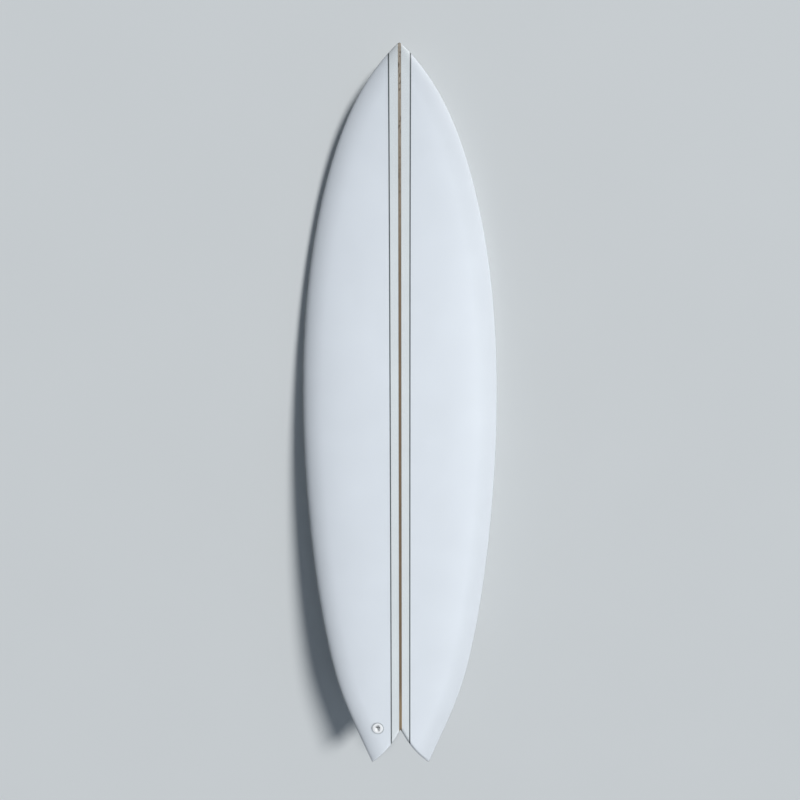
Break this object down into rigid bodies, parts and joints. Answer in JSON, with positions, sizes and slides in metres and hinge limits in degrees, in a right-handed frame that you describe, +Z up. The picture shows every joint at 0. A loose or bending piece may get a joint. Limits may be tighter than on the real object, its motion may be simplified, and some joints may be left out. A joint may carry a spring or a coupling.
{
  "type": "surfboard",
  "caption": "Swallow-tail surfboard with a wood-stringer foam blank, clear glassed skin, deck leash plug and removable canted twin fins.",
  "frame": {"origin": "middle of the bounding box, on the floor the board lies on", "axes": "+Y towards the nose, +Z up out of the deck, +X to the right seen from the deck with the nose ahead; the board lies on its fin tips and belly, so its length is pitched about 5.4 degrees nose down from the shaping base line"},
  "size_m": [0.5048, 1.8268, 0.1703],
  "materials": {
    "foam": "shaped white polyurethane foam",
    "band_foam": "shaped foam strip, a little warmer than the halves",
    "wood": "planed softwood under clear resin",
    "glue": "dark dyed glue line",
    "laminate": "clear glass cloth and resin, sanded",
    "resin": "cured filled resin",
    "plug_plastic": "white moulded plastic",
    "box_plastic": "white moulded plastic, sanded flush",
    "fin_laminate": "sanded glass laminate",
    "steel": "stainless steel"
  },
  "bodies": {
    "board": {"stringer": "wood", "foam_band_left": "band_foam", "foam_band_right": "band_foam", "glue_line_left": "glue", "glue_line_right": "glue", "foam_left": "foam", "foam_right": "foam", "deck_laminate": "laminate", "bottom_laminate": "laminate", "leash_plug": "plug_plastic", "leash_plug_bar": "steel", "leash_plug_resin": "resin", "fin_box_left": "box_plastic", "fin_box_right": "box_plastic", "fin_box_resin_left": "resin", "fin_box_resin_right": "resin"},
    "fin_left_body": {"fin_left": "fin_laminate"},
    "fin_right_body": {"fin_right": "fin_laminate"},
    "screw_left_body": {"fin_screw_left": "steel"},
    "screw_right_body": {"fin_screw_right": "steel"}
  },
  "joints": [
    {"name": "fin_right_slide", "type": "slide", "parent": "board", "child": "fin_right_body", "axis": [0.0856, -0.1791, -0.9801], "range_m": [0, 0.02]},
    {"name": "fin_left_slide", "type": "slide", "parent": "board", "child": "fin_left_body", "axis": [-0.0856, -0.1791, -0.9801], "range_m": [0, 0.02]},
    {"name": "fin_screw_right_turn", "type": "hinge", "parent": "board", "child": "screw_right_body", "pos_m": [0.10981, -0.62036, 0.10538], "axis": [-0.038, 0.5638, -0.8251], "range_deg": [0, 1080]},
    {"name": "fin_screw_left_turn", "type": "hinge", "parent": "board", "child": "screw_left_body", "pos_m": [-0.10981, -0.62036, 0.10538], "axis": [0.038, 0.5638, -0.8251], "range_deg": [0, 1080]}
  ]
}
